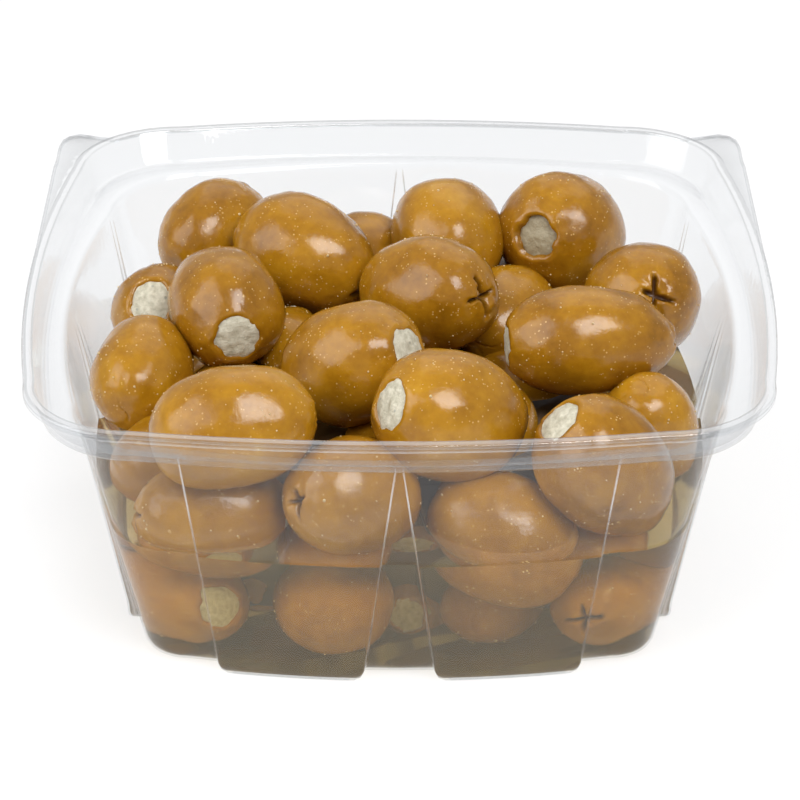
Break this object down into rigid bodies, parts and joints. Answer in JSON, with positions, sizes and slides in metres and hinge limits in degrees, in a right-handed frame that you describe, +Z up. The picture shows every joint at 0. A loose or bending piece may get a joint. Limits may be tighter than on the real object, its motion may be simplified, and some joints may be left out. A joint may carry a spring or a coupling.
{
  "type": "tub of stuffed olives",
  "caption": "Open clear deli tub with tapering panelled walls, a stepped rim and corner tabs, filled with cheese-stuffed green olives in shallow brine.",
  "frame": {"origin": "middle of the tub's base, on the surface it stands on", "axes": "+Z up, +X to the right as the picture sees it, along the rear corner tabs; +Y away from the viewer, towards the tabs"},
  "size_m": [0.144, 0.1428, 0.06],
  "materials": {
    "clear_plastic": "clear, thin and glossy",
    "green_olive": "wet satin skin"
  },
  "bodies": {
    "root": {"tub": "clear_plastic", "olive_heap": "green_olive"}
  },
  "joints": []
}
